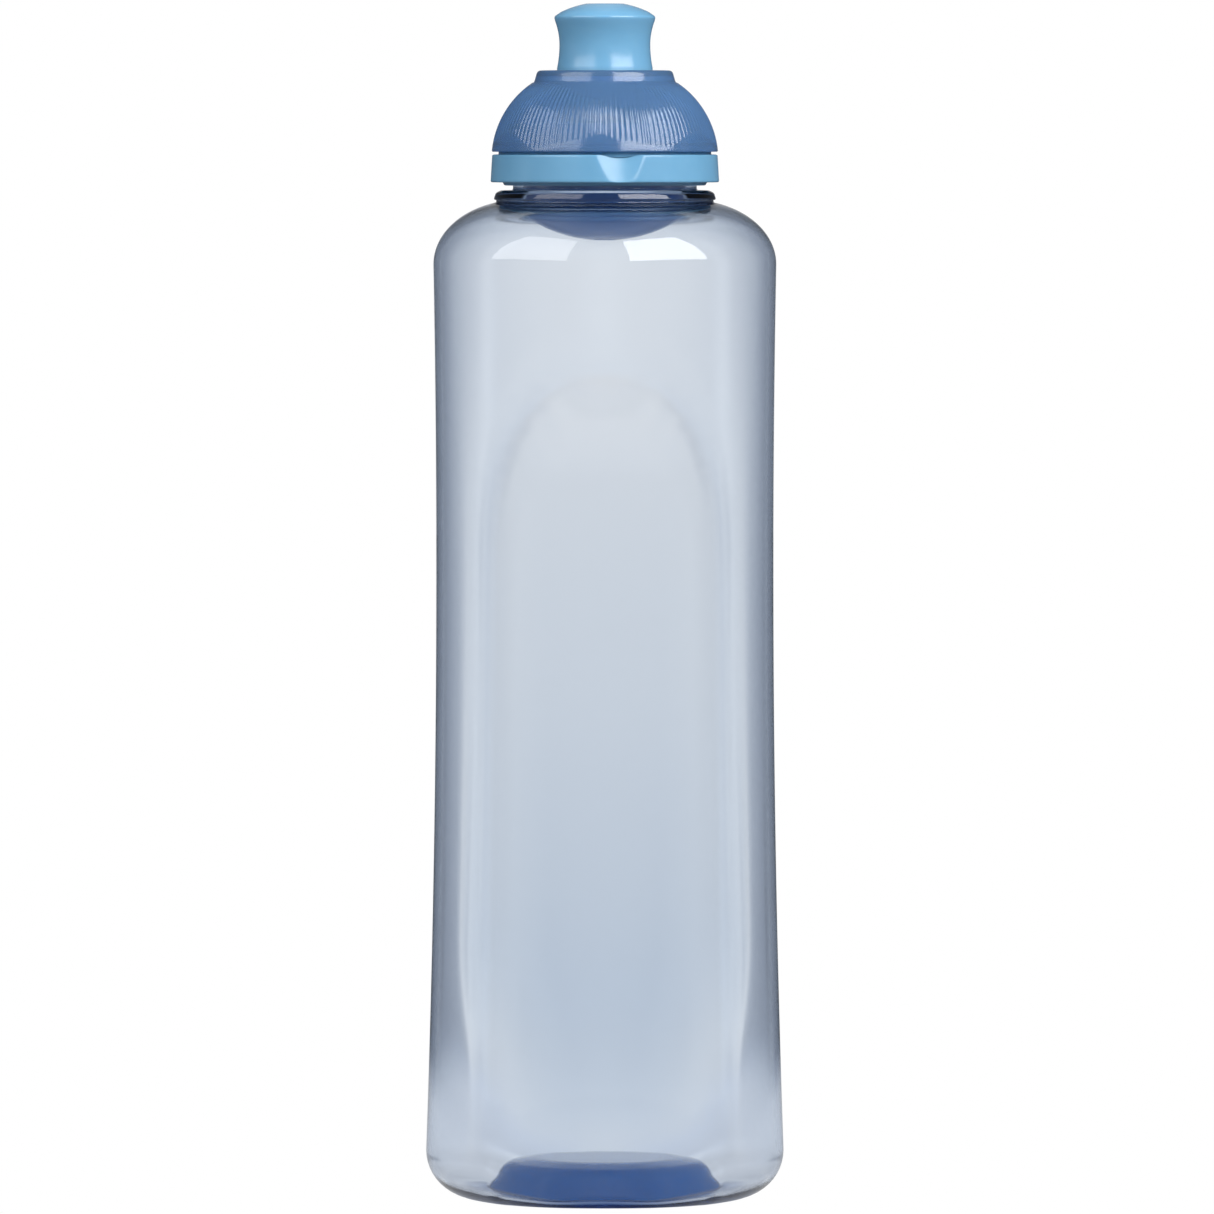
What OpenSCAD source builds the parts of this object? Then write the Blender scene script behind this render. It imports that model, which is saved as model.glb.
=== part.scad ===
// Sports squeeze bottle.
// A tinted, blow-moulded bottle with a flat grip panel on its front and back, closed by a screw cap.
// The cap's ribbed dome turns a quarter turn on the cap base and a cam slot in it lifts the spout
// off a fixed stem, which opens the mouth of the spout.
// Millimetres, +Z up, origin on the floor on the bottle's axis, front panel facing -Y.

/* [Body] */
// Diameter just above the foot, the widest place
base_d = 67.2; // [64:0.2:70]
// Diameter at the waist
waist_d = 63.2; // [61:0.2:64]
// Diameter under the shoulder
shoulder_d = 64.2; // [63:0.2:66]
// Height of the waist
waist_z = 120; // [110:1:130]
// Height where the shoulder starts to turn in
shoulder_z = 175; // [172:1:178]
// Height of the shoulder's elliptical curve
shoulder_h = 12; // [11.5:0.1:12.5]
// Width of the shoulder's elliptical curve
shoulder_w = 16.2; // [15.8:0.1:16.4]
// Radius of the corner round the foot
foot_r = 8.6; // [7.5:0.1:9]
// Thickness of the squeezable wall
wall = 1; // [0.8:0.1:1.4]

/* [Grip panels] */
// Width of each flat grip panel
panel_w = 43; // [38:1:46]
// Height where the arch at the panel's top begins
arch_z = 119; // [112:1:122]
// Height of the arch
arch_h = 36; // [30:1:38]

/* [Base] */
// Thickness of the base
base_wall = 1.3; // [1:0.1:1.8]
// Width of the flat ring that the bottle stands on
stand_w = 2; // [1.5:0.1:3]
// Height of the hollow pushed up under the base
punt_h = 6.2; // [4:0.1:8]
// Diameter of the hollow's flat top
punt_d = 25.2; // [20:0.2:28]

/* [Neck] */
// Outside diameter of the neck, without its thread
neck_d = 34.4; // [34.2:0.1:34.5]
// Bore of the neck
neck_bore_d = 31.4; // [31.2:0.1:31.6]
// Height of the neck above its bead
neck_h = 9.8; // [9.6:0.1:9.8]
// Diameter of the bead under the cap
bead_d = 41.6; // [40.8:0.1:42]
// Height of the bead
bead_h = 1.9; // [1.6:0.1:2]
// Rise of the thread in one turn
pitch = 4.2; // [4.1:0.05:4.3]
// Depth of the thread
thread_depth = 0.9; // [0.8:0.05:0.95]

/* [Cap] */
// Diameter of the cap's outer ring
ring_d = 42.8; // [42.6:0.1:43.4]
// Height of the outer ring
ring_h = 5.2; // [5:0.1:5.3]
// Gap between the bead on the neck and the ring of the tightened cap
ring_gap = 1.5; // [1.3:0.1:1.6]
// Angle from the front at which the tightened cap's thumb notch stops
notch_turn = 8; // [-20:1:20]
// Thickness of the sealing ring on the neck's rim
gasket_t = 1.2; // [1.1:0.1:1.2]
// Depth of the dished bottom of the cup that hangs from the cap through the neck
cup_h = 5.9; // [5:0.1:6]

/* [Dome] */
// Radius of the dome's rounded side, in section
dome_r = 17.45; // [17.3:0.05:17.6]
// Wall of the dome
dome_wall = 1.1; // [1:0.05:1.15]
// Diameter of the raised collar round the spout
collar_d = 26; // [25.4:0.1:26.4]
// Gap between the dome and the ring below it
dome_gap = 0.5; // [0.4:0.05:0.6]

/* [Spout] */
// Diameter of the spout's barrel
barrel_d = 17.9; // [17.7:0.1:18]
// Diameter of the spout's waist
spout_waist_d = 17; // [16.6:0.1:17.4]
// Diameter of the lip
lip_d = 19; // [18.4:0.1:19.6]
// How far the spout rises when the dome is turned
travel = 4.5; // [3.5:0.1:4.5]
// Angle the dome turns to open the spout
open_turn = 90; // [75:5:100]
// Diameter of the mouth
mouth_d = 5.4; // [5.2:0.1:5.6]

/* [Hidden] */
$fn = 96;
e = 0.01;
far = 60;

base_r = base_d / 2;
waist_r = waist_d / 2;
shoulder_r = shoulder_d / 2;
shoulder_c = shoulder_r - shoulder_w;
stand_r = base_r - foot_r;
punt_r = punt_d / 2;
neck_r = neck_d / 2;
bore_r = neck_bore_d / 2;
bead_r = bead_d / 2;
thread_r = neck_r + thread_depth;
// Thread flanks: a ridge is this wide at its root, and its crest is this much narrower.
ridge_w = 1.9;
ridge_taper = 1;

// Heights up the neck and the cap.
bead_z = shoulder_z + shoulder_h - 0.1;
bead_top = bead_z + bead_h;
rim_z = bead_top + neck_h;
ring_z = bead_top + ring_gap;
ring_top = ring_z + ring_h;
skirt_z = ring_z - 0.6;
deck_z = rim_z + gasket_t;
deck_t = 1.4;
deck_top = deck_z + deck_t;
thread_z = bead_top + 2.2;
thread_turns = 1.25;

// Radii of the cap base's walls.
ring_r = ring_d / 2;
skirt_in = thread_r + 0.3;
skirt_r = skirt_in + 1;
snap_r = skirt_r + 0.25;
ring_in = skirt_r + 0.85;
step_r = skirt_r + 0.5;
step_top = ring_top + 0.65;
plug_in = 14.2;
plug_r = 15.2;
cup_low = bead_z - cup_h - 0.7;
cup_wall = 1.1;
cup_hole = 2.5;
guide_r = 7;
guide_bore = 4.8;
guide_top = deck_top + 10.6;

// The dome's section is an arc about this centre.
dome_c = [3.8, ring_top - 1.06];
dome_z = ring_top + dome_gap;
collar_top = dome_z + 15.2;
collar_r = collar_d / 2;
barrel_r = barrel_d / 2;
sleeve_in = barrel_r + 0.2;
sleeve_r = sleeve_in + 1.2;
sleeve_z = deck_top + 0.6;

// The spout, at its closed height.
spout_z = deck_top + 1;
spout_bore = guide_r + 0.25;
lug_z = spout_z + 1.6;
lug_r = 0.9;
key_h = 1.8;
flare_z = collar_top + 0.4;
lip_z = collar_top + 9.7;
crown_z = lip_z + 3.1;
crown_r = 19;
lip_r = lip_d / 2;
spout_waist_r = spout_waist_d / 2;
spout_waist_z = collar_top + 4.8;
mouth_r = mouth_d / 2;
mouth_z = crown_z - 2.4;
o_ring_r = 0.7;
o_ring_z = deck_top + 9;
o_ring_groove = 1.2;

// Points along an arc in the section plane.
function arc(c, r, a0, a1, n) =
    [for (i = [0 : n]) let (a = a0 + (a1 - a0) * i / n) [c[0] + r * cos(a), c[1] + r * sin(a)]];

// Radius of the body's outside at a height between the foot and the shoulder.
function body_r(z) =
    z < waist_z
    ? waist_r + (base_r - waist_r) * pow((waist_z - z) / (waist_z - foot_r), 2)
    : waist_r + (shoulder_r - waist_r) * pow((z - waist_z) / (shoulder_z - waist_z), 2);

// Heights at which the body's side is sampled.
side_z = [for (i = [0 : 12]) foot_r + (shoulder_z - foot_r) * i / 12];

// The elliptical shoulder, t inside the outside surface, up to radius r.
function shoulder(t, r) =
    let (w = shoulder_w - t, h = shoulder_h - t, top = acos((r - shoulder_c) / w))
    [for (i = [1 : 12]) let (a = top * i / 12) [shoulder_c + w * cos(a), shoulder_z + h * sin(a)]];

// The hollow under the base, t above the outside surface, from the standing ring in to the axis.
function punt(t) =
    let (r0 = stand_r - stand_w, n = 8)
    concat(
        [for (i = [0 : n])
            let (u = i / n)
            [r0 + (punt_r - r0) * u, t + punt_h * (1 - cos(180 * u)) / 2]],
        [[0, punt_h + t]]
    );

module bottle_blank() {
    rotate_extrude()
        polygon(concat(
            [for (i = [9 : -1 : 0]) punt(0)[i]],
            arc([stand_r, foot_r], foot_r, -90, 0, 10),
            [for (i = [1 : 12]) [body_r(side_z[i]), side_z[i]]],
            shoulder(0, bead_r - 0.4),
            [[bead_r - 0.4, bead_z], [bead_r, bead_z]],
            arc([bead_r - 1.2, bead_top - 1.3], 1.2, 0, 80, 5),
            [[neck_r + 0.3, bead_top], [neck_r, bead_top + 0.3]],
            [[neck_r, rim_z - 0.4], [neck_r - 0.4, rim_z], [0, rim_z]]
        ));
}

module bottle_cavity() {
    rotate_extrude()
        polygon(concat(
            [for (i = [9 : -1 : 0]) punt(base_wall)[i]],
            arc([stand_r, foot_r], foot_r - base_wall, -90, 0, 10),
            [for (i = [1 : 12]) [body_r(side_z[i]) - wall, side_z[i]]],
            shoulder(wall, bore_r),
            [[bore_r, rim_z - 0.3], [bore_r + 0.3, rim_z + e], [0, rim_z + e]]
        ));
}

// Distance of a grip panel from the axis. Its outline on the body is two upright edges and an arch.
function panel_y(z) =
    let (q = 1 - pow(max(z - arch_z, 0) / arch_h, 2))
    sqrt(pow(body_r(max(z, foot_r)), 2) - pow(panel_w / 2, 2) * q);

panel_z = concat(
    [for (i = [0 : 5]) foot_r + (arch_z - foot_r) * i / 5],
    [for (u = [0.2, 0.4, 0.58, 0.74, 0.88, 1, 1.1]) arch_z + arch_h * u]
);

// Everything between the two grip panels, each moved in by t.
module between_panels(t) {
    side = concat(
        [[panel_y(foot_r) - t, -far]],
        [for (z = panel_z) [panel_y(z) - t, z]],
        [[far, arch_z + arch_h * 1.5], [far, rim_z + far]]
    );
    n = len(side);
    rotate([90, 0, 90])
        linear_extrude(height = 2 * far, center = true)
            polygon(concat(side, [for (i = [n - 1 : -1 : 0]) [-side[i][0], side[i][1]]]));
}

// A bar swept along a helix from angle a0 at height z0 to a1 at z1. It is w_in high at r_in and
// w_out high at r_out. With fade_to set, the outer edge (or the inner, for a thread in a bore)
// dies away towards that radius over the bar's first and last 20 degrees.
module helix_bar(r_in, w_in, r_out, w_out, a0, a1, z0, z1, fade_in = 0, fade_out = 0) {
    n = ceil((a1 - a0) / 6);
    points = [for (k = [0 : n])
        let (
            u = k / n,
            a = a0 + (a1 - a0) * u,
            z = z0 + (z1 - z0) * u,
            f = min(1, 0.2 + 0.8 * min(a - a0, a1 - a) / 20),
            ri = fade_in > 0 ? fade_in + (r_in - fade_in) * f : r_in,
            ro = fade_out > 0 ? fade_out + (r_out - fade_out) * f : r_out
        )
        for (p = [[ri, -w_in], [ro, -w_out], [ro, w_out], [ri, w_in]])
            [p[0] * cos(a), p[0] * sin(a), z + p[1] / 2]];
    sides = [for (k = [0 : n - 1], i = [0 : 3])
        let (j = (i + 1) % 4)
        for (f = [[4 * k + i, 4 * k + j, 4 * k + 4 + j], [4 * k + i, 4 * k + 4 + j, 4 * k + 4 + i]])
            f];
    ends = [[3, 2, 1], [3, 1, 0], [4 * n, 4 * n + 1, 4 * n + 2], [4 * n, 4 * n + 2, 4 * n + 3]];
    polyhedron(points = points, faces = concat(sides, ends), convexity = 6);
}

module neck_thread() {
    root = neck_r - 0.6;
    slope = ridge_taper / thread_depth;
    helix_bar(
        root, ridge_w + 0.6 * slope, thread_r, ridge_w - ridge_taper,
        0, 360 * thread_turns, thread_z, thread_z + pitch * thread_turns,
        fade_out = neck_r
    );
}

module bottle_shell() {
    color([0.62, 0.7, 0.8, 0.5])
        union() {
            difference() {
                intersection() {
                    bottle_blank();
                    between_panels(0);
                }
                intersection() {
                    bottle_cavity();
                    between_panels(wall);
                }
            }
            neck_thread();
        }
}

module neck_gasket() {
    color("whitesmoke")
        translate([0, 0, rim_z])
            difference() {
                cylinder(h = gasket_t, r = thread_r + 0.05);
                translate([0, 0, -e])
                    cylinder(h = gasket_t + 2 * e, r = plug_r + 0.2);
            }
}

// Height of the outside of the cup's dished bottom at a radius.
function cup_z(r) =
    let (round_r = (plug_r * plug_r + cup_h * cup_h) / (2 * cup_h))
    cup_low + round_r - sqrt(round_r * round_r - r * r);

cup_radii = [for (i = [0 : 6]) cup_hole + (plug_in - cup_hole) * i / 6];

// Everything on the cap base that is round: ring, threaded skirt, deck, guide tube, and the cup in the neck with
// the hole in its bottom that the drink comes through.
module cap_section() {
    polygon(concat([
        [skirt_in, skirt_z], [skirt_r - 0.6, skirt_z], [skirt_r, ring_z + 0.4],
        [skirt_r, ring_top - 2.5], [ring_in, ring_top - 2.5], [ring_in, ring_z],
        [ring_r, ring_z], [ring_r - 0.3, ring_top - 0.3], [ring_r - 0.6, ring_top],
        [step_r, ring_top], [step_r, step_top], [skirt_r, step_top],
        [skirt_r, ring_top + 2], [snap_r, ring_top + 2.1],
        [snap_r, ring_top + 2.4], [skirt_r, ring_top + 2.8],
        [skirt_r, deck_z - 1], [skirt_r - 1.2, deck_top],
        [guide_r, deck_top], [guide_r, o_ring_z - 0.75],
        [guide_r - o_ring_groove, o_ring_z - 0.75], [guide_r - o_ring_groove, o_ring_z + 0.75],
        [guide_r, o_ring_z + 0.75], [guide_r, guide_top - 0.2], [guide_r - 0.2, guide_top],
        [guide_bore, guide_top], [guide_bore, deck_z], [plug_in, deck_z]
    ],
        [for (i = [6 : -1 : 0]) [cup_radii[i], cup_z(cup_radii[i]) + cup_wall]],
        [for (r = cup_radii) [r, cup_z(r)]],
        [[plug_r, cup_z(plug_r)], [plug_r, deck_z], [skirt_in, deck_z]]
    ));
}

// The cap's thread sits under the neck's thread, which holds the tightened cap down.
module cap_thread() {
    root = skirt_in + 0.6;
    crest = skirt_in - thread_depth;
    slope = ridge_taper / thread_depth;
    drop = pitch / 2 - 0.6;
    first = 0.4;
    last = 1.5;
    helix_bar(
        crest, ridge_w - ridge_taper, root, ridge_w + 0.6 * slope,
        360 * first, 360 * last,
        thread_z - drop + pitch * first, thread_z - drop + pitch * last,
        fade_in = skirt_in
    );
}

// A V-shaped hollow for a thumbnail: a cone laid against the outside of the ring, and a
// shallow dip in the ring's top edge.
module thumb_notch() {
    cone_r = 30;
    dip_r = 17;
    rotate([0, 0, notch_turn]) {
        translate([0, -(ring_r - 1.17 + cone_r), ring_z])
            cylinder(h = ring_h + e, r1 = cone_r - 1, r2 = cone_r);
        translate([0, -step_r, ring_top - 0.45 + dip_r])
            rotate([90, 0, 0])
                cylinder(h = 3, r = dip_r);
    }
}

// Grooves in the guide tube for the spout's keys.
module key_grooves() {
    for (side = [0, 180])
        rotate([0, 0, side])
            translate([guide_r - 0.7, -1, deck_top])
                cube([2, 2, key_h + travel + 1.4]);
}

module cap_base() {
    color([0.45, 0.68, 0.83])
        difference() {
            union() {
                rotate_extrude() cap_section();
                cap_thread();
            }
            thumb_notch();
            key_grooves();
        }
}

module dome_section() {
    inner = dome_r - dome_wall;
    foot = asin((dome_z - dome_c[1]) / dome_r);
    foot_in = asin((dome_z + 1.6 - dome_c[1]) / inner);
    polygon(concat(
        [[step_r + 0.2, dome_z]],
        arc(dome_c, dome_r, foot, 55, 14),
        [[collar_r + 0.3, collar_top - 2.3], [collar_r, collar_top - 1.9]],
        arc([collar_r - 1.2, collar_top - 1.2], 1.2, 0, 90, 5),
        [[sleeve_in + 0.3, collar_top], [sleeve_in, collar_top - 0.3]],
        [[sleeve_in, sleeve_z], [sleeve_r, sleeve_z], [sleeve_r, collar_top - 1.4]],
        [[collar_r - 1.4, collar_top - 1.4]],
        arc(dome_c, inner, 57, foot_in, 12),
        [[skirt_r + 0.1, dome_z + 1.1], [skirt_r + 0.1, step_top + 0.05]],
        [[step_r + 0.2, step_top + 0.05]]
    ));
}

// Two cam slots through the dome's inner sleeve. In the dome, a lug moves back along the slot
// while it rises, because the dome turns and the spout doesn't.
module cam_slots() {
    overrun = 7;
    rise = travel / open_turn;
    for (side = [90, 270])
        helix_bar(
            barrel_r - 0.2, 2.3, sleeve_r + 0.4, 2.3,
            side - open_turn - overrun, side + overrun,
            lug_z + rise * (open_turn + overrun), lug_z - rise * overrun
        );
}

module dome() {
    color([0.3, 0.45, 0.7, 0.6])
        difference() {
            rotate_extrude() dome_section();
            cam_slots();
        }
}

// Outside of the spout above the dome, from its flare, past the waist, to the lip.
function spout_side(z) =
    z < spout_waist_z
    ? spout_waist_r + (barrel_r - spout_waist_r) * pow((spout_waist_z - z) / (spout_waist_z - flare_z), 2)
    : spout_waist_r + (lip_r - spout_waist_r) * pow((z - spout_waist_z) / (lip_z - spout_waist_z), 2);

function crown(r) = crown_z - crown_r + sqrt(pow(crown_r, 2) - pow(r, 2));

module spout_section() {
    chamber = spout_bore - 0.65;
    edge = lip_r - 0.4;
    polygon(concat(
        [[spout_bore, spout_z], [barrel_r - 0.2, spout_z], [barrel_r, spout_z + 0.3]],
        [for (i = [0 : 10]) let (z = flare_z + (lip_z - flare_z) * i / 10) [spout_side(z), z]],
        [[lip_r - 0.1, lip_z + 0.4]],
        [for (i = [0 : 6]) let (r = edge + (mouth_r + 0.3 - edge) * i / 6) [r, crown(r)]],
        [[mouth_r, crown(mouth_r) - 0.3], [mouth_r, mouth_z]],
        [[mouth_r + 1.2, mouth_z - 0.3], [chamber - 0.9, lip_z - 0.9], [chamber, lip_z - 2.2]],
        [[chamber, guide_top + 1.4], [spout_bore, guide_top + 0.5]]
    ));
}

module spout() {
    color([0.5, 0.73, 0.88])
        union() {
            rotate_extrude() spout_section();
            // Lugs that ride in the dome's cam slots.
            for (side = [90, 270])
                rotate([0, 0, side])
                    translate([barrel_r - 0.5, 0, lug_z])
                        rotate([0, 90, 0])
                            cylinder(h = sleeve_r - barrel_r + 0.3, r = lug_r);
            // Keys that keep the spout from turning on the guide tube.
            for (side = [0, 180])
                rotate([0, 0, side])
                    translate([guide_r - 0.45, -0.8, spout_z])
                        cube([1.2, 1.6, key_h]);
        }
}

module valve_stem() {
    ring_bottom = guide_top - 4;
    spoke_h = 2;
    color([0.85, 0.9, 0.94])
        union() {
            translate([0, 0, ring_bottom])
                difference() {
                    cylinder(h = 4, r = guide_bore);
                    translate([0, 0, -e])
                        cylinder(h = 4 + 2 * e, r = guide_bore - 0.9);
                }
            for (side = [30, 150, 270])
                rotate([0, 0, side])
                    translate([0, -0.5, guide_top - spoke_h])
                        cube([guide_bore - 0.4, 1, spoke_h]);
            rotate_extrude()
                polygon([
                    [0, guide_top - spoke_h - 0.8], [1.4, guide_top - spoke_h - 0.8],
                    [2.2, guide_top - spoke_h], [2.2, mouth_z - 1.4], [2, mouth_z - 0.6],
                    [1.6, mouth_z - 0.6], [1.6, mouth_z + 1.2], [0, mouth_z + 1.2]
                ]);
        }
}

module stem_o_ring() {
    color("dimgray")
        translate([0, 0, o_ring_z])
            rotate_extrude()
                translate([guide_r - o_ring_groove + o_ring_r, 0])
                    circle(r = o_ring_r, $fn = 32);
}

module tip_seal() {
    seal_r = mouth_r - 0.15;
    seal_top = crown_z - 0.35;
    color("ghostwhite")
        rotate_extrude()
            polygon(concat(
                [[1.6, mouth_z - 0.6], [seal_r, mouth_z - 0.6], [seal_r, seal_top - 0.7]],
                arc([seal_r - 0.7, seal_top - 0.7], 0.7, 15, 90, 4),
                [[0, seal_top], [0, mouth_z + 1.2], [1.6, mouth_z + 1.2]]
            ));
}

bottle_shell();
neck_gasket();
cap_base();
dome();
spout();
valve_stem();
stem_o_ring();
tip_seal();
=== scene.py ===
from math import cos, degrees, hypot, pi, radians, sin

import bpy
import numpy as np
from mathutils import Matrix, Vector

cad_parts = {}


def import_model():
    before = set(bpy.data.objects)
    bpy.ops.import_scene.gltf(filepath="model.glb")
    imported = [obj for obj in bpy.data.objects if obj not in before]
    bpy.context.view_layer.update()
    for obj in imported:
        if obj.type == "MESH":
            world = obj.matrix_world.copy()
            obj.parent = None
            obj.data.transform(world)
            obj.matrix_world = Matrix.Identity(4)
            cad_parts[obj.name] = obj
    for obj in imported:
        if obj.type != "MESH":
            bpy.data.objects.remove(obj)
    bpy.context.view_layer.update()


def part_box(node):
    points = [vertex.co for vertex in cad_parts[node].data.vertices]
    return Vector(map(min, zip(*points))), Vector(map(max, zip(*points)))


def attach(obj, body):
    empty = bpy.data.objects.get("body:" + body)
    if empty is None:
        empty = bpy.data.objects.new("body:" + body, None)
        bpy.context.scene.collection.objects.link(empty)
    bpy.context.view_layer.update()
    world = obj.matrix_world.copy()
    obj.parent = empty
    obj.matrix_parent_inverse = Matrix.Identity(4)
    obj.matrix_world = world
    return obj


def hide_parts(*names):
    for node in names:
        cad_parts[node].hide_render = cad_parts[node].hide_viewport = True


# Looks of the sports squeeze bottle. Sizes below are in millimetres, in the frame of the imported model:
# +Z up, origin on the floor on the bottle's axis, front panel facing -Y. Angles run from +X towards +Y.
MM = 0.001

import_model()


def extent(node):
    """Largest radius, lowest height and highest height of a CAD node, in mm."""
    low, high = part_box(node)
    return max(high.x, high.y) / MM, low.z / MM, high.z / MM


rim_z = extent("bottle_shell")[2]
seal_r, _, deck_z = extent("neck_gasket")
ring_r, cup_low, guide_top = extent("cap_base")
dome_foot_r, dome_z, collar_top = extent("dome")
lug_r, spout_z, _ = extent("spout")

# Bottle body.
base_r = 33.6
waist_r, waist_z = 31.6, 120
shoulder_r, shoulder_z = 32.1, 175
shoulder_w, shoulder_h = 16.2, 12
foot_r, foot_tight, foot_over = 8.6, 2.2, 2.5
# Grip panels: half width, the height where the arch starts, its height and its shape.
panel_half, arch_z, arch_h, arch_power = 21.5, 119, 36, 2.8
panel_blend = 3.2
gutter_depth, gutter_w, gutter_in = 0.18, 1.5, 2.4
# Base: the punt's height outside and inside, its nub and two rings, and the ring that the bottle stands on.
punt_h, punt_top = 6.2, 7.5
nub_h, mark_h, mark_w, mark_radii = 0.55, 0.12, 0.3, (5.8, 10)
stand_in, stand_rise = 23, 1.8
# Where the base's painted shade, a deeper and less clear blue, ends: its radius and its height, each with its
# softness.
base_shade_r, base_shade_edge, base_shade_top, base_shade_fade = 22.5, 1.0, 8.2, 0.4
# Where the panels' painted shade, a greyer colour, ends, inside and outside the outline, and the heights it
# comes in between.
panel_shade_in, panel_shade_out, panel_shade_low, panel_shade_high = 0.9, 0.4, 8, 30
# Walls: the base ring, the sides, the shoulder's top, and the panels as (height, wall).
ring_wall, side_wall, neck_root = 1.3, 1.05, 1.35
panel_walls = [
    (0, 1.6), (10, 1.6), (18, 2.0), (26, 2.2), (37, 2.3), (56, 2.05),
    (75, 1.84), (93, 1.63), (112, 1.5), (131, 1.35), (155, 1.1), (176, 1.0),
]
# Neck, and the ring that seals its rim.
neck_r, bore_r, seal_in = 17.2, 15.7, 15.4
bead_r, bead_h = 20.8, 1.9
neck_h = 9.8
bead_top = rim_z - neck_h
bead_z = bead_top - bead_h
# Thread. The ridge's half widths are at its root and its crest, and its ends rise over thread_fade degrees.
pitch, thread_depth, thread_fade = 4.2, 0.9, 22
ridge_root, ridge_crest = 0.95, 0.45
thread_z, neck_turns = bead_top + 2.2, (0, 1.25)

# Colours.
WHITE = (1.0, 1.0, 1.0)
# Painted shade: the grip panels a little greyer than the sides.
PANEL_SHADE = (0.968, 0.963, 0.957)
# Painted shade: the base a deeper blue and less clear, for the dark beneath the bottle.
BASE_SHADE_BLUE, BASE_SHADE_CLOUD = (0.02, 0.22, 0.7), 0.8
# Painted shade: the cup, the same plastic as the ring, in a deeper blue where it sits in shade inside the
# neck.
CUP_SHADE_BLUE = (0.19, 0.33, 0.66)
# Light from the sides, and the painted shadow on the floor right under the bottle.
SIDE_TINT = (0.9, 0.965, 1.1)
UNDER_SHADOW = (0.09, 0.17, 0.38)
# How bright the surroundings are to light that has come through the bottle, off it, and for soft shading.
THROUGH, REFLECTED, SOFT = 0.42, 0.08, 0.35
# How bright the floor near the bottle is through it, and that floor and the backdrop in reflections.
FLOOR_THROUGH, FLOOR_SHINE, BACK_SHINE = 0.84, 0.5, 0.45
# How tightly the backdrop's light is gathered behind and beside, and in front, where it is FRONT strong.
BACK_FOCUS, FRONT_FOCUS = 130.0, 30.0
FRONT = 0.5


# ---------------------------------------------------------------- mesh tools


def soft_min(a, b, width):
    """The smaller of a and b, with the crossing rounded over about width."""
    near = np.maximum(width - np.abs(a - b), 0) / width
    return np.minimum(a, b) - near * near * width / 4


def ramp(x, low, high):
    """Smooth step from 0 at low to 1 at high."""
    t = np.clip((x - low) / (high - low), 0, 1)
    return t * t * (3 - 2 * t)


def arc(centre, radius, start, end, steps):
    """Points along an arc in the section plane, angles in degrees."""
    turns = [radians(start + (end - start) * i / steps) for i in range(steps + 1)]
    return [(centre[0] + radius * cos(a), centre[1] + radius * sin(a)) for a in turns]


def rounded(corners, steps=4):
    """A section's points from its corners. A corner is (r, z) or (r, z, radius), and a radius rounds it."""
    made = []
    count = len(corners)
    for i, corner in enumerate(corners):
        here = Vector(corner[:2])
        if len(corner) == 2:
            made.append(tuple(here))
            continue
        before = Vector(corners[i - 1][:2]) - here
        after = Vector(corners[(i + 1) % count][:2]) - here
        reach = min(corner[2], before.length * 0.48, after.length * 0.48)
        p, q = here + before.normalized() * reach, here + after.normalized() * reach
        cuts = steps if corner[2] > 0.2 else 2
        for k in range(cuts + 1):
            t = k / cuts
            made.append(tuple(p * (1 - t) ** 2 + here * 2 * t * (1 - t) + q * t * t))
    return made


def finer(points, longest, closed=True):
    """The same section with no stretch longer than longest, a length or a function of the radius."""
    made = []
    count = len(points)
    for i in range(count if closed else count - 1):
        a, b = points[i], points[(i + 1) % count]
        limit = longest(a[0]) if callable(longest) else longest
        across, up = b[0] - a[0], b[1] - a[1]
        cuts = max(1, int(np.ceil(hypot(across, up) / limit)))
        made += [(a[0] + across * k / cuts, a[1] + up * k / cuts) for k in range(cuts)]
    return made if closed else made + [points[-1]]


def spin(points, columns, shape=None):
    """Rings of points made by turning a section about the axis. shape(r, z, angle) may change them."""
    angle = np.arange(columns) * 2 * pi / columns
    section = np.array(points, float)
    r = np.repeat(section[:, :1], columns, 1)
    z = np.repeat(section[:, 1:], columns, 1)
    if shape:
        r, z = shape(r, z, angle[None, :])
    return np.stack([r * np.cos(angle), r * np.sin(angle), z], -1)


def skin(name, rings, loop=True):
    """A smooth closed mesh over rings. loop joins the last ring to the first, or fans close them."""
    rows, columns, _ = rings.shape
    points = rings.reshape(-1, 3)
    index = np.arange(rows * columns).reshape(rows, columns)
    low, high = (index, np.roll(index, -1, 0)) if loop else (index[:-1], index[1:])
    quads = np.stack([low, np.roll(low, -1, 1), np.roll(high, -1, 1), high], -1).reshape(-1, 4)
    faces = quads.tolist()
    if not loop:
        for ring, place, turn in [(index[0], rings[0], 1), (index[-1], rings[-1], -1)]:
            centre = len(points)
            points = np.vstack([points, place.mean(0)])
            pairs = zip(ring.tolist(), np.roll(ring, -1).tolist())
            faces += [[centre, b, a][::turn] for a, b in pairs]
    corner = points[quads]
    across = np.cross(corner[:, 2] - corner[:, 0], corner[:, 3] - corner[:, 1])
    if (across * corner.mean(1)).sum() < 0:
        faces = [face[::-1] for face in faces]
    mesh = bpy.data.meshes.new(name)
    mesh.from_pydata((points * MM).tolist(), [], faces)
    mesh.polygons.foreach_set("use_smooth", [True] * len(mesh.polygons))
    mesh.update()
    piece = bpy.data.objects.new(name, mesh)
    bpy.context.scene.collection.objects.link(piece)
    return piece


def combine(piece, others, how):
    """Joins the other closed meshes to piece, or cuts them from it, and removes them."""
    for other in others:
        boolean = piece.modifiers.new(how.lower(), "BOOLEAN")
        boolean.operation = how
        boolean.solver = "MANIFOLD"
        boolean.object = other
    done = bpy.data.meshes.new_from_object(piece.evaluated_get(bpy.context.evaluated_depsgraph_get()))
    piece.modifiers.clear()
    piece.data = done
    for other in others:
        bpy.data.objects.remove(other)
    done.polygons.foreach_set("use_smooth", [True] * len(done.polygons))
    done.set_sharp_from_angle(angle=radians(35))


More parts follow.
